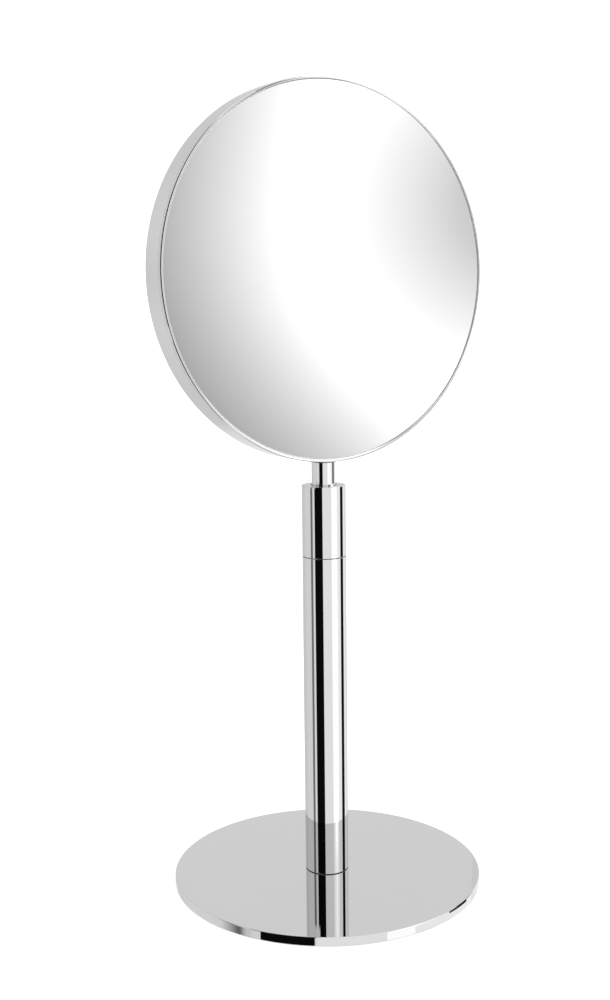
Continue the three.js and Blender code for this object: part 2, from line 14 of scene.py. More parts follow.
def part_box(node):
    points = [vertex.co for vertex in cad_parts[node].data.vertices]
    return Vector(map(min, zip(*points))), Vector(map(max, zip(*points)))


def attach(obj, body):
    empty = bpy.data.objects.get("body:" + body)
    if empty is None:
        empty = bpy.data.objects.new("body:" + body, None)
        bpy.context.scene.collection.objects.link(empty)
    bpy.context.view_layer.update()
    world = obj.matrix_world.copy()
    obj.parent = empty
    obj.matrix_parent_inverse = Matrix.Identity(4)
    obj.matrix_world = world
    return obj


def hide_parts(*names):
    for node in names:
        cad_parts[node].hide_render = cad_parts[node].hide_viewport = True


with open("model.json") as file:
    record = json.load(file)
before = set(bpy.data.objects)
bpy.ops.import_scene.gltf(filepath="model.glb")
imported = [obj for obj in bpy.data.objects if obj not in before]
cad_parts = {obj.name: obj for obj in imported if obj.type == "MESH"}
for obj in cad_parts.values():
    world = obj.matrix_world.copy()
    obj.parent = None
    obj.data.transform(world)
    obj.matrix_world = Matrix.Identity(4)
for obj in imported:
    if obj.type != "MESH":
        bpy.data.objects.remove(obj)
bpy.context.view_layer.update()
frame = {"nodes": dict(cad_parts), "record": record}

MM = 0.001
X, Y, Z = range(3)

# ---- camera: the direction it looks from, and how far it stands from the stand's axis ----
VIEW_AZIMUTH = math.radians(-32.74)
CAMERA_DISTANCE = 0.6414
CAMERA_HEIGHT = 0.2893
CAMERA_PITCH = math.radians(8.30)
CAMERA_YAW = math.radians(0.829)
CAMERA_ROLL = math.radians(-0.652)
CAMERA_LENS = 47.04

# ---- fineness of turned pieces ----
DISC_SEGMENTS = 288
TUBE_SEGMENTS = 128
SMALL_SEGMENTS = 64
SMALL_ROUNDING_STEPS = 4
LARGE_ROUNDING_STEPS = 14
LARGE_ROUNDING = 0.8 * MM
CREASE = math.radians(32)
TINY = 1e-9

# ---- rounded edges ----
EDGE = 0.3 * MM
TUBE_EDGE = 0.2 * MM
FINE_EDGE = 0.12 * MM

# ---- fits ----
LOOSE_GAP = 0.3 * MM
PRESS_GAP = 0.1 * MM
RUNNING_GAP = 0.02 * MM
OVERCUT = 1 * MM
HEX_SIDES = 6

# ---- light tent: sizes in metres, with its zones named after what mirrors them ----
TENT_RADIUS = 0.28
TENT_BOTTOM = -0.40
TENT_TOP = 0.95
TENT_COLUMN_DEGREES = 0.3
TENT_ROW = 0.005
FINE_ROWS = (-0.112, -0.104, 0.0004)
LOWEST = -1.0
RIM_ZONE = -0.09
ROD_ZONE = 0.1665
HEAD_ZONE = 0.20
GLASS_ZONE = 0.235
HIGHEST = 1.0

# ---- brightness of the tent's cards ----
BLACK = 0.005
NEAR_BLACK = 0.01
DARK_GREY = 0.23
PALE = 1.05
WHITE = 1.155
BRIGHT = 1.26
BRIGHTEST = 2.4

# ---- cards in the tent: left and right edge in degrees, bottom, top, brightness ----
CARDS = (
    (-72.3, -59.8, RIM_ZONE, ROD_ZONE, DARK_GREY),
    (-72.3, -59.8, HEAD_ZONE, HIGHEST, DARK_GREY),
    (-59.8, -48.5, RIM_ZONE, HIGHEST, PALE),
    (-48.5, -7.0, RIM_ZONE, ROD_ZONE, BLACK),
    (-40.0, -7.0, ROD_ZONE, HEAD_ZONE, BLACK),
    (-48.5, -7.0, HEAD_ZONE, HIGHEST, BLACK),
    (-43.0, -8.0, LOWEST, RIM_ZONE, BLACK),
    (-7.0, 37.7, LOWEST, HIGHEST, WHITE),
    (37.7, 58.0, LOWEST, RIM_ZONE, 1.55),
    (58.0, 121.0, LOWEST, RIM_ZONE, BRIGHT),
    (121.0, 152.0, LOWEST, RIM_ZONE, 1.08),
    (152.0, 165.0, LOWEST, RIM_ZONE, BRIGHT),
    (37.7, 70.6, RIM_ZONE, HIGHEST, BRIGHTEST),
    (70.6, 91.6, RIM_ZONE, HIGHEST, BRIGHT),
    (91.6, 114.0, RIM_ZONE, GLASS_ZONE, NEAR_BLACK),
    (91.6, 158.0, GLASS_ZONE, HIGHEST, 1.2),
)

# ---- soft changes in the tent: the places, then the values there ----
WALL = ((105, 125, 165), (0.965, 0.84, 0.75))
BEHIND_ACROSS = ((145, 153), (0, 1))
BEHIND_UP = ((0.06, 0.08, 0.19, 0.23), (0, 1, 1, 0))
BEHIND_LEVEL = 0.93
REAR_STRIPE = {"azimuth": -143, "width": 8, "depth": 0.5}
REAR_STRIPE_UP = ((0.21, 0.25, 0.44, 0.49), (0, 1, 1, 0))
LOW_FLAG = ((-74, -66, -60, -58, -54, -49), (0.96, 0.55, 0.18, 0.20, 0.75, 0.92))
LOW_CARD_FOOT = ((89, 112), (-0.1062, -0.1101))
PANEL = {"left": 37.7, "right": 70.6, "edge_level": 1.55, "peak_azimuth": 55, "peak_width": 8}
PANEL_PEAK_UP = ((0.10, 0.12), (0.95, 0.45))
FADING_CARD = (114, 158)
FADING = ((120, 158), (1.27, 0.86))
SIDE_DIP = {"azimuth": -115, "width": 14, "height": 0.305, "half_height": 0.05, "depth": 0.13}

# ---- what the glass mirrors: a bright panel, darker on the left, with an oval shade on the right ----
GLASS_VIEW = {"left": 40, "right": 100, "gain": 1.02 / 0.93}
SHADE = {"start": 57, "bend": 575, "bends_below": 0.345, "at_start": 0.771, "darkest": 0.65, "power": 2.2}
SHADE_SLOPE = ((0.25, 0.30), (0.038, 0.047))
OVAL = {"azimuth": 79.1, "height": 0.345, "half_width": 12, "half_height": 0.071, "darkest": 0.6}
OVAL_SLOPE_INSIDE = 0.73
OVAL_SLOPE_OUTSIDE = 2.4

# ---- floor, surroundings and lamp ----
FLOOR_SIZE = 6
SEEN_LEVEL = 1.7
MIRRORED_LEVEL = 1.05
LAMP = {"size": 1.6, "power": 6, "place": (-1.1, -1.0, 1.7), "aim": (0, 0, 0.2)}

# ---- turning axes: the axis itself, then the two directions across it ----
UPRIGHT = (Vector((0, 0, 1)), Vector((1, 0, 0)), Vector((0, 1, 0)))
FACING = (Vector((0, 1, 0)), Vector((0, 0, 1)), Vector((1, 0, 0)))
CROSSWAYS = (Vector((1, 0, 0)), Vector((0, 1, 0)), Vector((0, 0, 1)))
NUT_CROSSWAYS = (Vector((1, 0, 0)), Vector((0, 0, 1)), Vector((0, -1, 0)))
NUT_FACING = (Vector((0, 1, 0)), Vector((1, 0, 0)), Vector((0, 0, -1)))


# ------------------------------------------------------------------ places, read from the frame

def extent(node, axis):
    """Lowest and highest place of a CAD node along one axis."""
    low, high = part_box(node)
    return low[axis], high[axis]


def radius(node, axis=X):
    low, high = extent(node, axis)
    return (high - low) / 2


HEAD_CENTRE = Vector((0, 0, sum(extent("bezel_ring", Z)) / 2))
HEAD_R = radius("bezel_ring")
PIVOT_HEIGHT = sum(extent("pivot_screw", Z)) / 2
PIVOT = Vector((0, 0, PIVOT_HEIGHT))

# ---- stand ----
PAD_INNER_R = 12 * MM
PAD_GROOVES = {"shares": (0.35, 0.6, 0.85), "half_width": 0.8 * MM, "depth": 0.4 * MM}
BASE_SOCKET = {"r": 2.3 * MM, "depth": 2 * MM}
TUBE_WALL = 1 * MM
COLLAR_WALL = 2.85 * MM
COLLAR_CONE = {"wall": 3.8 * MM, "above_bottom": 14 * MM, "below_top": 7.4 * MM}
COLLAR_MOUTH_GAP = 0.4 * MM
BUFFER_INNER_R = 4 * MM
ROD_PLUG_INNER_R = 2 * MM
O_RING_SECTION_R = 0.9 * MM
O_RING_SIDES = 16

# ---- hinge ----
KNUCKLE = {"plug_r": 4.9 * MM, "rise": 0.2 * MM, "half_depth": 3.5 * MM, "half_width": 2.5 * MM}
EYE_R = PIVOT_HEIGHT - extent("hinge_bracket", Z)[0]
EYE_JOIN_DEGREES = 56
EYE_STEPS = 48
PIVOT_BORE_R = 2.05 * MM
PIVOT_SCREW = {"shaft_r": 1.95 * MM, "head_length": 2.9 * MM, "socket_r": 1.6 * MM, "socket_depth": 1.6 * MM}
SPRING_WASHER = {"inner_r": 2.1 * MM, "outer_r": 3.8 * MM, "split_degrees": 8}
FRICTION_WASHER_INNER_R = 2.1 * MM
PIVOT_NUT_BORE_R = 2.0 * MM
STUD_NUT_BORE_R = 1.55 * MM
BRACKET = {"thickness": 1.5 * MM, "foot": 6 * MM, "ear_top": 18 * MM, "ear_front": -1 * MM}
EAR_SIDES = {"inside": 3.05 * MM, "outside": 5.05 * MM}
EAR_STEPS = 32
BRACKET_BORE_REACH = 8 * MM

# ---- head ----
GLASS_CURVATURE = 0.8
GLASS_THICKNESS = 2 * MM
GLASS_GAP = 0.05 * MM
CASING_WALL = extent("casing", Y)[1] - extent("hinge_bracket", Y)[1]
CASING_CORNER = 0.8 * MM
SPIGOT_PLAY = 0.2 * MM
LIP_OUTER_ROUNDING = 1.0 * MM
LIP_INNER_ROUNDING = 0.6 * MM
NOTCH = {"half_width": 6.6 * MM, "top": 222 * MM, "corner": 1.5 * MM, "corner_steps": 8, "overcut": 2 * MM}


# ------------------------------------------------------------------ camera

def make_camera():
    """Slightly above the head's middle, to the side that shows the head's left edge."""
    heading = VIEW_AZIMUTH + CAMERA_YAW
    level = Vector((-math.sin(heading), math.cos(heading), 0))
    forward = math.cos(CAMERA_PITCH) * level - math.sin(CAMERA_PITCH) * Vector((0, 0, 1))
    right = Vector((math.cos(heading), math.sin(heading), 0))
    up = right.cross(forward)
    rolled_right = math.cos(CAMERA_ROLL) * right + math.sin(CAMERA_ROLL) * up
    rolled_up = math.cos(CAMERA_ROLL) * up - math.sin(CAMERA_ROLL) * right
    data = bpy.data.cameras.new("camera")
    data.lens = CAMERA_LENS
    camera = bpy.data.objects.new("camera", data)
    bpy.context.scene.collection.objects.link(camera)
    turn = Matrix((rolled_right, rolled_up, -forward)).transposed()
    place = Vector((math.sin(VIEW_AZIMUTH), -math.cos(VIEW_AZIMUTH), 0)) * CAMERA_DISTANCE
    place.z = CAMERA_HEIGHT
    camera.matrix_world = Matrix.Translation(place) @ turn.to_4x4()
    bpy.context.scene.camera = camera


# ------------------------------------------------------------------ material nodes

# ---- the Mix node's places for two colours, and for what it makes of them ----
MIX_FIRST = 6
MIX_SECOND = 7
MIX_RESULT = 2


class Shading:
    """A material with one Principled shader, and short calls for the nodes that vary it."""

    def __init__(self, name, **constants):
        self.material = bpy.data.materials.new(name)
        self.material.use_nodes = True
        self.tree = self.material.node_tree
        self.shader = self.tree.nodes["Principled BSDF"]
        self.place = self.tree.nodes.new("ShaderNodeTexCoord").outputs["Object"]
        for socket, value in constants.items():
            self.shader.inputs[socket.replace("_", " ")].default_value = value

    def link(self, source, target):
        self.tree.links.new(source, target)

    def stretched(self, *scale):
        """Object coordinates scaled unevenly, for grain that runs one way."""
        node = self.tree.nodes.new("ShaderNodeMapping")
        node.inputs["Scale"].default_value = scale
        self.link(self.place, node.inputs["Vector"])
        return node.outputs[0]

    def distance(self, x, y, z):
        """Metres from the origin, counting only the directions whose factor isn't zero."""
        node = self.tree.nodes.new("ShaderNodeVectorMath")
        node.operation = "LENGTH"
        self.link(self.stretched(x, y, z), node.inputs[0])
        return node.outputs["Value"]

    def noise(self, scale, detail=3.0, place=None):
        node = self.tree.nodes.new("ShaderNodeTexNoise")
        node.inputs["Scale"].default_value = scale
        node.inputs["Detail"].default_value = detail
        self.link(place or self.place, node.inputs["Vector"])
        return node.outputs[0]

    def cells(self, scale):
        node = self.tree.nodes.new("ShaderNodeTexVoronoi")
        node.inputs["Scale"].default_value = scale
        self.link(self.place, node.inputs["Vector"])
        return node.outputs["Distance"]

    def spread(self, value, stretch, onto):
        """Maps one stretch of values onto another, held at both ends."""
        node = self.tree.nodes.new("ShaderNodeMapRange")
        for socket, number in zip(("From Min", "From Max", "To Min", "To Max"), (*stretch, *onto)):
            node.inputs[socket].default_value = number
        self.link(value, node.inputs["Value"])
        return node.outputs[0]

    def math(self, operation, first, second):
        node = self.tree.nodes.new("ShaderNodeMath")
        node.operation = operation
        for socket, value in zip(node.inputs, (first, second)):
            if isinstance(value, (int, float)):
                socket.default_value = value
            else:
                self.link(value, socket)
        return node.outputs[0]

    def colour(self, factor, first, second):
        """Base colour between two colours, by a factor."""
        node = self.tree.nodes.new("ShaderNodeMix")
        node.data_type = "RGBA"
        node.inputs[MIX_FIRST].default_value = (*first, 1)
        node.inputs[MIX_SECOND].default_value = (*second, 1)
        self.link(factor, node.inputs["Factor"])
        self.link(node.outputs[MIX_RESULT], self.shader.inputs["Base Color"])

    def rough(self, value):
        self.link(value, self.shader.inputs["Roughness"])

    def bump(self, value, distance):
        node = self.tree.nodes.new("ShaderNodeBump")
        node.inputs["Distance"].default_value = distance
        self.link(value, node.inputs["Height"])
        self.link(node.outputs[0], self.shader.inputs["Normal"])


# ------------------------------------------------------------------ materials, one for each slot

def polished_chrome():
    """Bright plate: a faint haze, hairline wipe marks and the slightest ripple."""
    mat = Shading("polished_chrome", Metallic=1.0)
    haze = mat.noise(38, detail=4)
    hairlines = mat.noise(1, detail=2, place=mat.stretched(2600, 2600, 90))
    marks = mat.spread(hairlines, (0.66, 0.76), (0.0, 0.012))
    mat.rough(mat.math("ADD", mat.spread(haze, (0.35, 0.7), (0.006, 0.016)), marks))
    mat.colour(haze, (0.62, 0.621, 0.623), (0.635, 0.635, 0.636))
    mat.bump(mat.noise(160, detail=1), 0.0008 * MM)
    return mat.material


def silvered_glass():
    """Clean silvered glass: faint smears, and a trace of green that grows with height."""
    mat = Shading("silvered_glass", Metallic=1.0, Coat_Weight=0.3, Coat_Roughness=0.0)
    smears = mat.noise(24, detail=5)
    mat.rough(mat.spread(smears, (0.45, 0.75), (0.0, 0.012)))
    mat.colour(mat.distance(1, 0, 1), (0.93, 0.93, 0.93), (0.925, 0.928, 0.926))
    return mat.material


def turned_brass():
    """Brass with fine turning rings and a dull bloom."""
    mat = Shading("turned_brass", Metallic=1.0)
    bloom = mat.noise(180, detail=5)
    rings = mat.noise(1, detail=2, place=mat.stretched(0, 0, 9000))
    mat.colour(bloom, (0.74, 0.57, 0.28), (0.60, 0.44, 0.20))
    mat.rough(mat.spread(bloom, (0.3, 0.7), (0.24, 0.42)))
    mat.bump(rings, 0.02 * MM)
    return mat.material


def plated_steel():
    """Zinc plate: a cool, cloudy grey with fine grain."""
    mat = Shading("plated_steel", Metallic=1.0)
    clouds = mat.noise(420, detail=4)
    mat.colour(clouds, (0.60, 0.61, 0.63), (0.47, 0.48, 0.51))
    mat.rough(mat.spread(clouds, (0.3, 0.7), (0.28, 0.45)))
    mat.bump(mat.noise(2600, detail=2), 0.01 * MM)
    return mat.material


def black_rubber():
    """Matt rubber with a fine moulded grain and a trace of dust."""
    mat = Shading("black_rubber")
    dust = mat.noise(90, detail=6)
    mat.colour(mat.spread(dust, (0.5, 0.8), (0.0, 1.0)), (0.022, 0.022, 0.024), (0.06, 0.06, 0.062))
    mat.rough(mat.spread(dust, (0.3, 0.7), (0.68, 0.9)))
    mat.bump(mat.noise(1900, detail=2), 0.05 * MM)
    return mat.material


def natural_nylon():
    """Milky nylon, slightly warm, with turning marks."""
    mat = Shading("natural_nylon", Subsurface_Weight=0.15, Subsurface_Scale=0.002)
    milk = mat.noise(260, detail=3)
    mat.colour(milk, (0.80, 0.78, 0.71), (0.72, 0.70, 0.63))
    mat.rough(mat.spread(milk, (0.3, 0.7), (0.38, 0.55)))
    mat.bump(mat.noise(1, detail=1, place=mat.stretched(300, 300, 7000)), 0.02 * MM)
    return mat.material


def black_plastic():
    """Black moulded plastic with a spark-eroded grain."""
    mat = Shading("black_plastic")
    grain = mat.noise(3200, detail=3)
    mat.colour(grain, (0.03, 0.031, 0.034), (0.045, 0.046, 0.05))
    mat.rough(mat.spread(grain, (0.3, 0.7), (0.42, 0.6)))
    mat.bump(grain, 0.03 * MM)
    return mat.material


def grey_film():
    """Grey safety film, with the soft creases of a bonded sheet."""
    mat = Shading("grey_film")
    creases = mat.noise(55, detail=4)
    mat.colour(creases, (0.07, 0.075, 0.085), (0.10, 0.105, 0.115))
    mat.rough(mat.spread(creases, (0.3, 0.7), (0.45, 0.65)))
    mat.bump(creases, 0.1 * MM)
    return mat.material


def grey_foam():
    """Closed-cell foam: small round pits."""
    mat = Shading("grey_foam")
    pits = mat.cells(1400)
    mat.colour(pits, (0.08, 0.083, 0.09), (0.16, 0.165, 0.175))
    mat.rough(mat.spread(pits, (0.0, 0.8), (0.8, 0.95)))
    mat.bump(pits, 0.25 * MM)
    return mat.material


MATERIALS = {
    "chrome": polished_chrome(),
    "mirror": silvered_glass(),
    "brass": turned_brass(),
    "steel": plated_steel(),
    "rubber": black_rubber(),
    "nylon": natural_nylon(),
    "black_plastic": black_plastic(),
    "film": grey_film(),
    "foam": grey_foam(),
}
SLOT_OF = {part["node"]: part["material_slot"] for part in frame["record"]["subparts"]}
BODY_OF = {node: body for body, nodes in frame["record"]["behaviour"]["bodies"].items() for node in nodes}


# ------------------------------------------------------------------ outlines

def rounded(corners, closed=True):
    """Rounds an anticlockwise outline of (distance from axis, height, rounding).

    Gives rows of (distance, height, normal across, normal along). A rounding of zero is a smooth point.
    """
    rows = []
    count = len(corners)
    for index, (across, along, rounding) in enumerate(corners):
        here = Vector((across, along))
        before = Vector(corners[index - 1][:2])
        after = Vector(corners[(index + 1) % count][:2])
        if not closed and index == 0:
            before = here - (after - here)
        if not closed and index == count - 1:
            after = here + (here - before)
        rows += rounded_corner(before, here, after, rounding)
    return np.array(rows)


def rounded_corner(before, here, after, rounding):
    normal_in = outward(here - before)
    normal_out = outward(after - here)
    if rounding == 0:
        middle = (normal_in + normal_out).normalized()
        return [(*here, *middle)]
    turn = math.atan2(normal_in.x * normal_out.y - normal_in.y * normal_out.x, normal_in.dot(normal_out))
    side = math.copysign(1, turn)
    centre = here - side * rounding * (normal_in + normal_out) / (1 + normal_in.dot(normal_out))
    steps = LARGE_ROUNDING_STEPS if rounding > LARGE_ROUNDING else SMALL_ROUNDING_STEPS
    rows = []
    for step in range(steps + 1):
        angle = turn * step / steps
        cosine, sine = math.cos(angle), math.sin(angle)
        across = cosine * normal_in.x - sine * normal_in.y
        along = sine * normal_in.x + cosine * normal_in.y
        normal = Vector((across, along))
        rows.append((*(centre + side * rounding * normal), *normal))
    return rows


def outward(along):
    """The outward normal of a stretch of an anticlockwise outline."""
    return Vector((along.y, -along.x)).normalized()


def bar(outer, bottom, top, rounding):
    """Outline of a solid bar."""
    corners = [(0, bottom, 0), (outer, bottom, rounding), (outer, top, rounding), (0, top, 0)]
    return rounded(corners, closed=False)


def ring(inner, outer, bottom, top, rounding):
    """Outline of a plain ring."""
    corners = [(inner, bottom), (outer, bottom), (outer, top), (inner, top)]
    return rounded([(*corner, rounding) for corner in corners])


# ------------------------------------------------------------------ meshes

def new_object(name, mesh):
    piece = bpy.data.objects.new(name, mesh)
    bpy.context.scene.collection.objects.link(piece)
    return piece


def turned(name, outline, axes=UPRIGHT, centre=(0, 0, 0), segments=TUBE_SEGMENTS, closed=True):
    """A piece turned from an outline, with exact normals."""
    axis, first, second = (np.array(direction) for direction in axes)
    angles = np.linspace(0, 2 * math.pi, segments, endpoint=False)
    spokes = np.outer(np.cos(angles), first) + np.outer(np.sin(angles), second)
    points = []
    rings = []
    for across, along in outline[:, :2]:
        start = len(points)
        if across == 0:
            points.append(along * axis)
            rings.append([start] * segments)
        else:
            points += list(across * spokes + along * axis)
            rings.append(list(range(start, start + segments)))
    pairs = list(zip(rings, rings[1:]))
    if closed:
        pairs.append((rings[-1], rings[0]))
    faces = []
    for lower, upper in pairs:
        for index in range(segments):
            following = (index + 1) % segments
            face = (lower[index], lower[following], upper[following], upper[index])
            faces.append(tuple(dict.fromkeys(face)))
    mesh = bpy.data.meshes.new(name)
    mesh.from_pydata(np.array(points) + np.array(centre), [], faces)
    piece = new_object(name, mesh)
    set_turned_normals(piece, outline, axes, centre, closed)
    return piece


def set_turned_normals(piece, outline, axes, centre, closed=True):
    """Gives each face corner the outline's own normal, and the face's where the two disagree."""
    mesh = piece.data
    axis = np.array(axes[0])
    points = np.array([vertex.co for vertex in mesh.vertices]) - np.array(centre)
    along = points @ axis
    sideways = points - np.outer(along, axis)
    across = np.linalg.norm(sideways, axis=1)
    spokes = sideways / np.maximum(across, TINY)[:, None]
    best = np.full(len(points), np.inf)
    normals = np.zeros((len(points), 2))
    ends = np.roll(outline, -1, axis=0)
    stretches = list(zip(outline, ends))
    if not closed:
        stretches = stretches[:-1]
    for start, end in stretches:
        step = end[:2] - start[:2]
        offsets = np.stack([across - start[0], along - start[1]], axis=1)
        share = np.clip(offsets @ step / max(step @ step, TINY ** 2), 0, 1)[:, None]
        distance = np.linalg.norm(offsets - share * step, axis=1)
        nearer = distance < best
        blended = (1 - share) * start[2:] + share * end[2:]
        normals[nearer] = blended[nearer]
        best[nearer] = distance[nearer]
    smooth = spokes * normals[:, :1] + np.outer(normals[:, 1], axis)
    smooth /= np.maximum(np.linalg.norm(smooth, axis=1), TINY)[:, None]
    corner_normals = []
    for polygon in mesh.polygons:
        polygon.use_smooth = True
        flat = np.array(polygon.normal)
        for vertex in polygon.vertices:
            agrees = smooth[vertex] @ flat > math.cos(CREASE)
            corner_normals.append(smooth[vertex] if agrees else flat)
    mesh.normals_split_custom_set(corner_normals)


def plate(name, outline, left, right, bevel, centre=(0, 0, 0)):
    """A flat plate seen from the side: an outline of (y, z) points, between two places along X."""
    build = bmesh.new()
    corners = [build.verts.new(Vector((left, y, z)) + Vector(centre)) for y, z in outline]
    face = build.faces.new(corners)
    grown = bmesh.ops.extrude_face_region(build, geom=[face])["geom"]
    moved = [item for item in grown if isinstance(item, bmesh.types.BMVert)]
    bmesh.ops.translate(build, verts=moved, vec=(right - left, 0, 0))
    bmesh.ops.recalc_face_normals(build, faces=build.faces)
    mesh = bpy.data.meshes.new(name)
    build.to_mesh(mesh)
    build.free()
    piece = new_object(name, mesh)
    soften(piece, bevel)
    return piece


def arc(centre_y, centre_z, reach, start, end, steps):
    """Points on an arc, angles in degrees."""
    angles = np.radians(np.linspace(start, end, steps + 1))
    return [(centre_y + reach * math.cos(angle), centre_z + reach * math.sin(angle)) for angle in angles]


def apply_modifiers(piece):
    """Keeps the shape that the piece's modifiers give."""
    bpy.context.view_layer.update()
    evaluated = piece.evaluated_get(bpy.context.evaluated_depsgraph_get())
    mesh = bpy.data.meshes.new_from_object(evaluated)
    piece.modifiers.clear()
    piece.data = mesh


def soften(piece, width, segments=3):
    """Rounds the edges that turn by more than a crease, and smooths the rest."""
    bevel = piece.modifiers.new("edges", "BEVEL")
    bevel.width = width
    bevel.segments = segments
    bevel.limit_method = "ANGLE"
    bevel.angle_limit = CREASE
    apply_modifiers(piece)
    smooth_by_crease(piece)


def smooth_by_crease(piece):
    """Smooths the faces, but keeps the edges that turn by more than a crease."""
    for polygon in piece.data.polygons:
        polygon.use_smooth = True
    piece.data.set_sharp_from_angle(angle=CREASE)


def combine(piece, tool, operation):
    """Cuts the tool out of the piece, or joins it on, and removes the tool."""
    boolean = piece.modifiers.new("combine", "BOOLEAN")
    boolean.operation = operation
    boolean.solver = "EXACT"
    boolean.object = tool
    apply_modifiers(piece)
    bpy.data.objects.remove(tool)


def prism(name, reach, bottom, top, axes=UPRIGHT, centre=(0, 0, 0)):
    """A hexagon bar, for sockets and nuts."""
    outline = np.array([(0, bottom, 0, -1), (reach, bottom, 1, 0), (reach, top, 1, 0), (0, top, 0, 1)])
    return turned(name, outline, axes, centre, segments=HEX_SIDES, closed=False)


def bore(reach, bottom, top, axes, centre):
    """A round bar that cuts a hole."""
    outline = bar(reach, bottom, top, FINE_EDGE)
    return turned("bore", outline, axes, centre, SMALL_SEGMENTS, closed=False)


def stands_for(piece, node):
    """Puts the piece in the CAD node's place: its body, its finish and its material slot."""
    slot = SLOT_OF[node]
    piece.data.materials.clear()
    piece.data.materials.append(MATERIALS[slot])
    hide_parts(node)
    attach(piece, BODY_OF[node])
    return piece


# ------------------------------------------------------------------ base

def make_base_plate():
    plate_r = radius("base_plate")
    bottom, top = extent("base_plate", Z)
    pad_top = extent("non_slip_pad", Z)[1]
    recess_r = radius("non_slip_pad") + LOOSE_GAP
    countersink_r = radius("base_screw") + LOOSE_GAP
    hole_r = radius("base_screw") / 2 + LOOSE_GAP
    outline = rounded([
        (hole_r, pad_top + countersink_r - hole_r, FINE_EDGE),
        (countersink_r, pad_top, FINE_EDGE),
        (recess_r, pad_top, FINE_EDGE),
        (recess_r, bottom, FINE_EDGE),
        (plate_r, bottom, FINE_EDGE),
        (plate_r, top, EDGE),
        (hole_r, top, FINE_EDGE),
    ])
    stands_for(turned("base_plate_detail", outline, segments=DISC_SEGMENTS), "base_plate")


def make_pad():
    """The rubber ring under the base, with three moulded grooves in its underside."""
    outer = radius("non_slip_pad")
    bottom, top = extent("non_slip_pad", Z)
    groove_top = bottom + PAD_GROOVES["depth"]
    corners = [(PAD_INNER_R, bottom, FINE_EDGE)]
    for share in PAD_GROOVES["shares"]:
        middle = PAD_INNER_R + share * (outer - PAD_INNER_R)
        left = middle - PAD_GROOVES["half_width"]
        right = middle + PAD_GROOVES["half_width"]
        groove = ((left, bottom), (left, groove_top), (right, groove_top), (right, bottom))
        corners += [(*corner, FINE_EDGE) for corner in groove]
    corners += [(outer, bottom, EDGE), (outer, top, FINE_EDGE), (PAD_INNER_R, top, FINE_EDGE)]
    piece = turned("non_slip_pad_detail", rounded(corners), segments=DISC_SEGMENTS)
    stands_for(piece, "non_slip_pad")


def make_base_screw():
    """Countersunk screw with a hexagon socket, its head up from the underside."""
    head_r = radius("base_screw")
    shaft_r = head_r / 2
    bottom, top = extent("base_screw", Z)
    outline = rounded([
        (0, bottom, 0),
        (head_r, bottom, FINE_EDGE),
        (shaft_r, bottom + head_r - shaft_r, FINE_EDGE),
        (shaft_r, top, EDGE),
        (0, top, 0),
    ], closed=False)
    screw = turned("base_screw_detail", outline, segments=SMALL_SEGMENTS, closed=False)
    socket = prism("socket", BASE_SOCKET["r"], bottom - OVERCUT, bottom + BASE_SOCKET["depth"])
    combine(screw, socket, "DIFFERENCE")
    set_turned_normals(screw, outline, UPRIGHT, (0, 0, 0), closed=False)
    stands_for(screw, "base_screw")


# ------------------------------------------------------------------ stand

def make_plain_ring(node, inner, rounding, gap_above=0.0):
    """A tube or ring whose outside and height are the CAD node's, less a running gap above it."""
    bottom, top = extent(node, Z)
    outline = ring(inner, radius(node), bottom, top - gap_above, rounding)
    stands_for(turned(f"{node}_detail", outline), node)


def make_collar():
    """The twist-lock sleeve: a plain outside with a crisp mouth round the rod."""
    outer = radius("collar")
    bottom, top = extent("collar", Z)
    wiper_bottom, wiper_top = extent("wiper_ring", Z)
    groove_bottom = wiper_bottom - PRESS_GAP
    groove_top = wiper_top + PRESS_GAP
    groove_r = radius("wiper_ring") + PRESS_GAP
    thread_r = outer - COLLAR_WALL
    cone_r = outer - COLLAR_CONE["wall"]
    mouth_r = radius("rod_tube") + COLLAR_MOUTH_GAP
    outline = rounded([
        (thread_r, bottom, FINE_EDGE),
        (outer, bottom, TUBE_EDGE),
        (outer, top, EDGE),
        (mouth_r, top, FINE_EDGE),
        (mouth_r, groove_top, FINE_EDGE),
        (groove_r, groove_top, FINE_EDGE),
        (groove_r, groove_bottom, FINE_EDGE),
        (cone_r, groove_bottom, FINE_EDGE),
        (cone_r, top - COLLAR_CONE["below_top"], FINE_EDGE),
        (thread_r, bottom + COLLAR_CONE["above_bottom"], FINE_EDGE),
    ])
    stands_for(turned("collar_detail", outline), "collar")


def make_knuckle():
    """Plug in the rod's top, with a flat neck and an eye for the pivot screw."""
    bottom = extent("knuckle", Z)[0]
    plug_top = extent("rod_tube", Z)[1] + KNUCKLE["rise"]
    outline = bar(KNUCKLE["plug_r"], bottom, plug_top, EDGE)
    plug = turned("knuckle_detail", outline, segments=SMALL_SEGMENTS, closed=False)
    foot = plug_top - PIVOT_HEIGHT - OVERCUT
    neck = KNUCKLE["half_depth"]
    eye = arc(0, 0, EYE_R, -EYE_JOIN_DEGREES, 180 + EYE_JOIN_DEGREES, EYE_STEPS)
    half_width = KNUCKLE["half_width"]
    tongue = plate("tongue", [(-neck, foot), (neck, foot), *eye], -half_width, half_width, EDGE, PIVOT)
    combine(plug, tongue, "UNION")
    combine(plug, bore(PIVOT_BORE_R, -2 * half_width, 2 * half_width, CROSSWAYS, PIVOT), "DIFFERENCE")
    smooth_by_crease(plug)
    stands_for(plug, "knuckle")


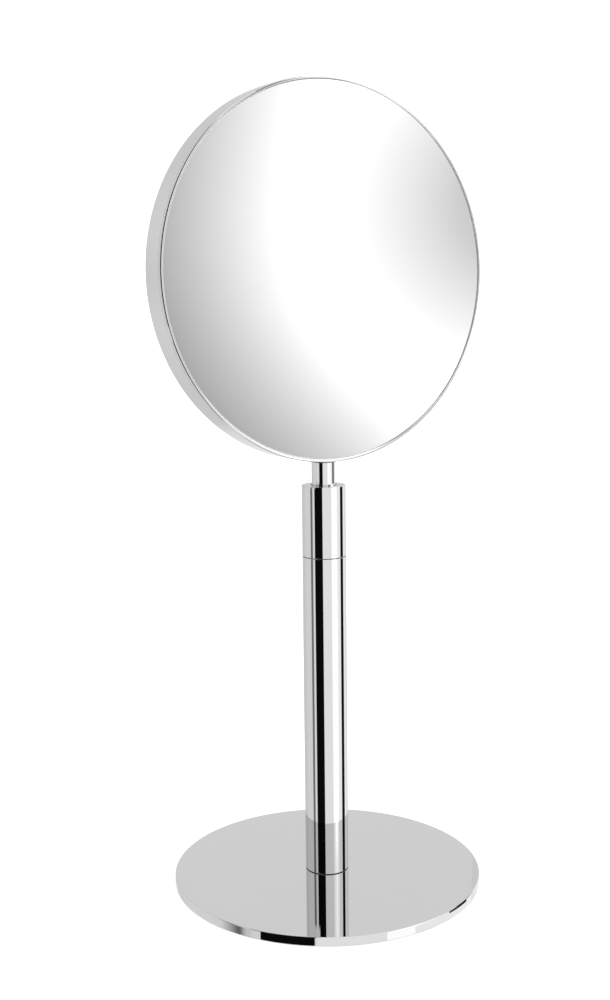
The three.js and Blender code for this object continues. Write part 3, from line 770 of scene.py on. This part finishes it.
def make_o_ring():
    """The slider's O-ring: a round section turned about the rod's axis."""
    outer = radius("slider_o_ring")
    bottom, top = extent("slider_o_ring", Z)
    middle = (bottom + top) / 2
    circle = arc(outer - O_RING_SECTION_R, middle, O_RING_SECTION_R, 0, 360, O_RING_SIDES)[:-1]
    outline = rounded([(across, along, 0) for across, along in circle])
    stands_for(turned("slider_o_ring_detail", outline), "slider_o_ring")


# ------------------------------------------------------------------ head

def notch_tool(front):
    """The block that opens the head's lower rim for the rod, with rounded upper corners."""
    back = extent("casing", Y)[1] + NOTCH["overcut"]
    bottom = HEAD_CENTRE.z - HEAD_R - NOTCH["overcut"]
    build = bmesh.new()
    bmesh.ops.create_cube(build, size=1)
    size = Vector((2 * NOTCH["half_width"], back - front, NOTCH["top"] - bottom))
    bmesh.ops.scale(build, vec=size, verts=build.verts)
    middle = Vector((0, (front + back) / 2, (NOTCH["top"] + bottom) / 2))
    bmesh.ops.translate(build, vec=middle, verts=build.verts)
    upper = []
    for edge in build.edges:
        start, end = (vertex.co for vertex in edge.verts)
        if min(start.z, end.z) > middle.z and abs(start.x - end.x) < MM:
            upper.append(edge)
    corner = {"offset": NOTCH["corner"], "segments": NOTCH["corner_steps"], "profile": 0.5}
    bmesh.ops.bevel(build, geom=upper, affect="EDGES", **corner)
    mesh = bpy.data.meshes.new("notch")
    build.to_mesh(mesh)
    build.free()
    return new_object("notch", mesh)


def make_casing():
    """The shallow chrome cup behind the glass."""
    front, back = extent("casing", Y)
    inner = HEAD_R - CASING_WALL
    outline = rounded([
        (0, back - CASING_WALL, 0),
        (inner, back - CASING_WALL, EDGE),
        (inner, front, FINE_EDGE),
        (HEAD_R, front, FINE_EDGE),
        (HEAD_R, back, CASING_CORNER),
        (0, back, 0),
    ], closed=False)
    cup = turned("casing_detail", outline, FACING, HEAD_CENTRE, DISC_SEGMENTS, closed=False)
    combine(cup, notch_tool(front - NOTCH["overcut"]), "DIFFERENCE")
    set_turned_normals(cup, outline, FACING, HEAD_CENTRE, closed=False)
    stands_for(cup, "casing")


def make_bezel():
    """The narrow rounded lip that frames the glass, with its spigot inside the casing."""
    front, back = extent("bezel_ring", Y)
    casing_front = extent("casing", Y)[0]
    inner = radius("mirror_glass") + GLASS_GAP
    spigot = HEAD_R - CASING_WALL - SPIGOT_PLAY
    outline = rounded([
        (inner, front, LIP_INNER_ROUNDING),
        (HEAD_R, front, LIP_OUTER_ROUNDING),
        (HEAD_R, casing_front, FINE_EDGE),
        (spigot, casing_front, FINE_EDGE),
        (spigot, back, FINE_EDGE),
        (inner, back, FINE_EDGE),
    ])
    lip_ring = turned("bezel_ring_detail", outline, FACING, HEAD_CENTRE, DISC_SEGMENTS)
    combine(lip_ring, notch_tool(casing_front + FINE_EDGE), "DIFFERENCE")
    set_turned_normals(lip_ring, outline, FACING, HEAD_CENTRE)
    stands_for(lip_ring, "bezel_ring")


def bowl(start, end, rim_place, rim_r, steps=40):
    """Smooth outline points along the glass's hollow, from one distance to another."""
    rows = []
    for across in np.linspace(start, end, steps + 1):
        depth = math.sqrt(GLASS_CURVATURE ** 2 - across ** 2) - math.sqrt(GLASS_CURVATURE ** 2 - rim_r ** 2)
        rows.append((across, rim_place + depth, 0))
    return rows


def make_glass():
    """The concave mirror, ground round its edge."""
    rim_r = radius("mirror_glass")
    front = extent("mirror_glass", Y)[0]
    back = front + GLASS_THICKNESS
    face = bowl(0, rim_r, front, rim_r)[:-1]
    rear = bowl(rim_r, 0, back, rim_r)[1:]
    rim = [(rim_r, front, FINE_EDGE), (rim_r, back, FINE_EDGE)]
    outline = rounded([*face, *rim, *rear], closed=False)
    glass = turned("mirror_glass_detail", outline, FACING, HEAD_CENTRE, DISC_SEGMENTS, closed=False)
    stands_for(glass, "mirror_glass")


def make_bracket():
    """Plate on the casing's back with two ears round the knuckle."""
    low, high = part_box("hinge_bracket")
    front = high.y - BRACKET["thickness"]
    foot = PIVOT_HEIGHT + BRACKET["foot"]
    corners = [(front, foot), (high.y, foot), (high.y, high.z), (front, high.z)]
    bracket = plate("hinge_bracket_detail", corners, low.x, high.x, EDGE)
    ear_top = BRACKET["ear_top"]
    side = [*arc(0, 0, EYE_R, 180, 360, EAR_STEPS), (EYE_R, ear_top), (BRACKET["ear_front"], ear_top)]
    inside = EAR_SIDES["inside"]
    outside = EAR_SIDES["outside"]
    for left, right in ((-outside, -inside), (inside, outside)):
        combine(bracket, plate("ear", side, left, right, EDGE, PIVOT), "UNION")
    reach = BRACKET_BORE_REACH
    combine(bracket, bore(PIVOT_BORE_R, -reach, reach, CROSSWAYS, PIVOT), "DIFFERENCE")
    smooth_by_crease(bracket)
    stands_for(bracket, "hinge_bracket")


def make_pivot_screw():
    """Cap screw through the hinge, with a hexagon socket in its head."""
    left, right = extent("pivot_screw", X)
    head_r = radius("pivot_screw", Z)
    shaft_r = PIVOT_SCREW["shaft_r"]
    head_right = left + PIVOT_SCREW["head_length"]
    outline = rounded([
        (0, left, 0),
        (head_r, left, EDGE),
        (head_r, head_right, FINE_EDGE),
        (shaft_r, head_right, FINE_EDGE),
        (shaft_r, right, EDGE),
        (0, right, 0),
    ], closed=False)
    screw = turned("pivot_screw_detail", outline, CROSSWAYS, PIVOT, SMALL_SEGMENTS, closed=False)
    floor = left + PIVOT_SCREW["socket_depth"]
    socket = prism("socket", PIVOT_SCREW["socket_r"], left - OVERCUT, floor, CROSSWAYS, PIVOT)
    combine(screw, socket, "DIFFERENCE")
    set_turned_normals(screw, outline, CROSSWAYS, PIVOT, closed=False)
    stands_for(screw, "pivot_screw")


def make_spring_washer():
    """A flat ring with a narrow split at its top."""
    left, right = extent("spring_washer", X)
    start = 90 + SPRING_WASHER["split_degrees"] / 2
    end = start + 360 - SPRING_WASHER["split_degrees"]
    outer = arc(0, 0, SPRING_WASHER["outer_r"], start, end, SMALL_SEGMENTS)
    inner = arc(0, 0, SPRING_WASHER["inner_r"], end, start, SMALL_SEGMENTS)
    washer = plate("spring_washer_detail", [*outer, *inner], left, right, FINE_EDGE, PIVOT)
    stands_for(washer, "spring_washer")


def make_nut(node, hole_r, axis, axes):
    """A hexagon nut with rounded corners and a plain bore."""
    low, high = extent(node, axis)
    corner = max(radius(node, side) for side in (X, Y, Z) if side != axis)
    centre = Vector([sum(extent(node, side)) / 2 for side in (X, Y, Z)])
    centre[axis] = 0
    nut = prism(f"{node}_detail", corner, low, high, axes, centre)
    outline = bar(corner, low, high, 2 * EDGE)
    rounding = turned("rounding", outline, axes, centre, SMALL_SEGMENTS, closed=False)
    combine(nut, rounding, "INTERSECT")
    combine(nut, bore(hole_r, low - OVERCUT, high + OVERCUT, axes, centre), "DIFFERENCE")
    smooth_by_crease(nut)
    stands_for(nut, node)


def make_friction_washer(node):
    """A flat plastic ring between the knuckle and an ear."""
    outline = ring(FRICTION_WASHER_INNER_R, radius(node, Z), *extent(node, X), FINE_EDGE)
    stands_for(turned(f"{node}_detail", outline, CROSSWAYS, PIVOT, SMALL_SEGMENTS), node)


def make_stud(node):
    """A plain welded stud on the casing's back."""
    centre = Vector([sum(extent(node, X)) / 2, 0, sum(extent(node, Z)) / 2])
    outline = bar(radius(node), *extent(node, Y), EDGE)
    stands_for(turned(f"{node}_detail", outline, FACING, centre, SMALL_SEGMENTS, closed=False), node)


# ------------------------------------------------------------------ parts kept as the CAD has them

def finish_cad_nodes():
    for node, part in frame["nodes"].items():
        part.data.materials.clear()
        part.data.materials.append(MATERIALS[SLOT_OF[node]])


# ------------------------------------------------------------------ floor and light

def make_floor():
    """A wide pale floor that the chrome doesn't see."""
    build = bmesh.new()
    bmesh.ops.create_grid(build, x_segments=1, y_segments=1, size=FLOOR_SIZE)
    mesh = bpy.data.meshes.new("floor")
    build.to_mesh(mesh)
    build.free()
    floor = new_object("floor", mesh)
    mat = Shading("pale_floor", Roughness=0.9)
    mat.colour(mat.noise(3), (0.90, 0.90, 0.90), (0.895, 0.895, 0.90))
    floor.data.materials.append(mat.material)
    floor.visible_glossy = False


def between(value, low, high):
    return (value >= low) & (value < high)


def hump(value, middle, width):
    """One in the middle, falling softly to nothing on both sides."""
    return np.exp(-((value - middle) / width) ** 2)


def tent_glow(azimuth, height):
    """Brightness of the tent's wall, by degrees to the right of the camera's side and by height."""
    glow = tent_wall(azimuth, height)
    for left, right, bottom, top, level in CARDS:
        glow[between(azimuth, left, right) & between(height, bottom, top)] = level

    places, levels = LOW_FLAG
    low_flag = between(azimuth, places[0], places[-1]) & (height < RIM_ZONE)
    glow[low_flag] = np.interp(azimuth, places, levels)[low_flag]

    places, heights = LOW_CARD_FOOT
    foot = np.interp(azimuth, places, heights)
    glow[between(azimuth, *places) & between(height, foot, RIM_ZONE)] = NEAR_BLACK

    panel = between(azimuth, PANEL["left"], PANEL["right"]) & between(height, RIM_ZONE, GLASS_ZONE)
    peak = np.interp(height, *PANEL_PEAK_UP) * hump(azimuth, PANEL["peak_azimuth"], PANEL["peak_width"])
    glow[panel] = (PANEL["edge_level"] + peak)[panel]

    fading = between(azimuth, *FADING_CARD) & between(height, RIM_ZONE, GLASS_ZONE)
    glow[fading] = np.interp(azimuth, *FADING)[fading]

    mirrored = between(azimuth, GLASS_VIEW["left"], GLASS_VIEW["right"]) & (height >= GLASS_ZONE)
    glow[mirrored] = glass_view(azimuth, height)[mirrored]

    dip = hump(azimuth, SIDE_DIP["azimuth"], SIDE_DIP["width"])
    dip *= hump(height, SIDE_DIP["height"], SIDE_DIP["half_height"])
    return glow - SIDE_DIP["depth"] * dip


def tent_wall(azimuth, height):
    """The pale wall behind the cards: brighter low down at the back, with a soft grey stripe higher up."""
    off_side = np.abs(azimuth)
    wall = np.interp(off_side, *WALL)
    behind = np.interp(off_side, *BEHIND_ACROSS) * np.interp(height, *BEHIND_UP)
    stripe = hump(azimuth, REAR_STRIPE["azimuth"], REAR_STRIPE["width"]) * np.interp(height, *REAR_STRIPE_UP)
    return wall + behind * (BEHIND_LEVEL - wall) - REAR_STRIPE["depth"] * stripe


def glass_view(azimuth, height):
    """What the glass shows: a bright panel with a soft grey edge on the left and a soft oval on the right."""
    start = SHADE["start"] + SHADE["bend"] * np.maximum(0, SHADE["bends_below"] - height) ** 2
    rising = SHADE["at_start"] + np.interp(height, *SHADE_SLOPE) * (azimuth - start)
    shade = np.maximum(SHADE["darkest"], rising) ** SHADE["power"]
    across = (azimuth - OVAL["azimuth"]) / OVAL["half_width"]
    up = (height - OVAL["height"]) / OVAL["half_height"]
    reach = np.hypot(across, up) - 1
    slope = np.where(reach < 0, OVAL_SLOPE_INSIDE, OVAL_SLOPE_OUTSIDE)
    oval = np.maximum(OVAL["darkest"], 1 + slope * reach)
    return np.minimum(np.minimum(shade, oval), BRIGHTEST) * GLASS_VIEW["gain"]


def make_tent():
    """A bright sleeve round the mirror, with black and grey stripes, that only reflections see."""
    columns = int(360 / TENT_COLUMN_DEGREES)
    rows = int(round((TENT_TOP - TENT_BOTTOM) / TENT_ROW)) + 1
    degrees = np.linspace(-180, 180, columns, endpoint=False)
    heights = np.union1d(np.linspace(TENT_BOTTOM, TENT_TOP, rows), np.arange(*FINE_ROWS))
    azimuth, height = np.meshgrid(degrees, heights)
    heading = np.radians(azimuth) + VIEW_AZIMUTH
    points = np.stack([np.sin(heading) * TENT_RADIUS, -np.cos(heading) * TENT_RADIUS, height], axis=2)
    faces = []
    for row in range(len(heights) - 1):
        for column in range(columns):
            following = (column + 1) % columns
            low, high = row * columns, (row + 1) * columns
            faces.append((low + column, low + following, high + following, high + column))
    mesh = bpy.data.meshes.new("light_tent")
    mesh.from_pydata(points.reshape(-1, 3), [], faces)
    attribute = mesh.attributes.new("glow", "FLOAT", "POINT")
    attribute.data.foreach_set("value", tent_glow(azimuth, height).astype(np.float32).ravel())
    tent = new_object("light_tent", mesh)
    tent.data.materials.append(glow_material())
    tent.visible_camera = False
    tent.visible_diffuse = False
    tent.visible_transmission = False
    tent.visible_shadow = False


def glow_material():
    """Light as strong as the mesh's own glow at each point."""
    material = bpy.data.materials.new("tent_glow")
    material.use_nodes = True
    tree = material.node_tree
    tree.nodes.clear()
    level = tree.nodes.new("ShaderNodeAttribute")
    level.attribute_name = "glow"
    emission = tree.nodes.new("ShaderNodeEmission")
    output = tree.nodes.new("ShaderNodeOutputMaterial")
    tree.links.new(level.outputs["Fac"], emission.inputs["Strength"])
    tree.links.new(emission.outputs[0], output.inputs["Surface"])
    material.cycles.emission_sampling = "NONE"
    return material


def make_world():
    """White all round, less bright in reflections."""
    world = bpy.data.worlds.new("studio")
    bpy.context.scene.world = world
    world.use_nodes = True
    tree = world.node_tree
    background = tree.nodes["Background"]
    path = tree.nodes.new("ShaderNodeLightPath")
    level = tree.nodes.new("ShaderNodeMapRange")
    level.inputs["To Min"].default_value = SEEN_LEVEL
    level.inputs["To Max"].default_value = MIRRORED_LEVEL
    tree.links.new(path.outputs["Is Glossy Ray"], level.inputs["Value"])
    tree.links.new(level.outputs[0], background.inputs["Strength"])
    background.inputs["Color"].default_value = (1, 1, 1, 1)


def make_lamp():
    """One large soft light above and to the left, which the chrome doesn't see."""
    data = bpy.data.lights.new("soft_light", "AREA")
    data.shape = "SQUARE"
    data.size = LAMP["size"]
    data.energy = LAMP["power"]
    lamp = bpy.data.objects.new("soft_light", data)
    bpy.context.scene.collection.objects.link(lamp)
    lamp.location = LAMP["place"]
    lamp.rotation_euler = (Vector(LAMP["aim"]) - lamp.location).to_track_quat("-Z", "Y").to_euler()
    lamp.visible_glossy = False


# ------------------------------------------------------------------ the whole scene

make_camera()
finish_cad_nodes()

make_base_plate()
make_pad()
make_base_screw()
make_plain_ring("foot_gasket", radius("lower_tube") - TUBE_WALL, FINE_EDGE)
make_plain_ring("lower_tube", radius("lower_tube") - TUBE_WALL, TUBE_EDGE)
make_plain_ring("seam_washer", radius("lower_tube") - COLLAR_WALL, FINE_EDGE, gap_above=RUNNING_GAP)
make_collar()
make_plain_ring("wiper_ring", radius("rod_tube") + PRESS_GAP, FINE_EDGE)
make_plain_ring("rod_tube", radius("rod_tube") - TUBE_WALL, EDGE)
make_knuckle()

make_casing()
make_bezel()
make_glass()
make_bracket()
make_pivot_screw()
make_spring_washer()
make_nut("pivot_nut", PIVOT_NUT_BORE_R, X, NUT_CROSSWAYS)
for side in ("left", "right"):
    make_friction_washer(f"friction_washer_{side}")
    make_stud(f"bracket_stud_{side}")
    make_nut(f"bracket_nut_{side}", STUD_NUT_BORE_R, Y, NUT_FACING)

make_o_ring()
make_plain_ring("bottom_buffer", BUFFER_INNER_R, EDGE)
make_plain_ring("rod_plug", ROD_PLUG_INNER_R, FINE_EDGE)

make_floor()
make_tent()
make_world()
make_lamp()
bpy.context.scene.view_settings.view_transform = "Standard"
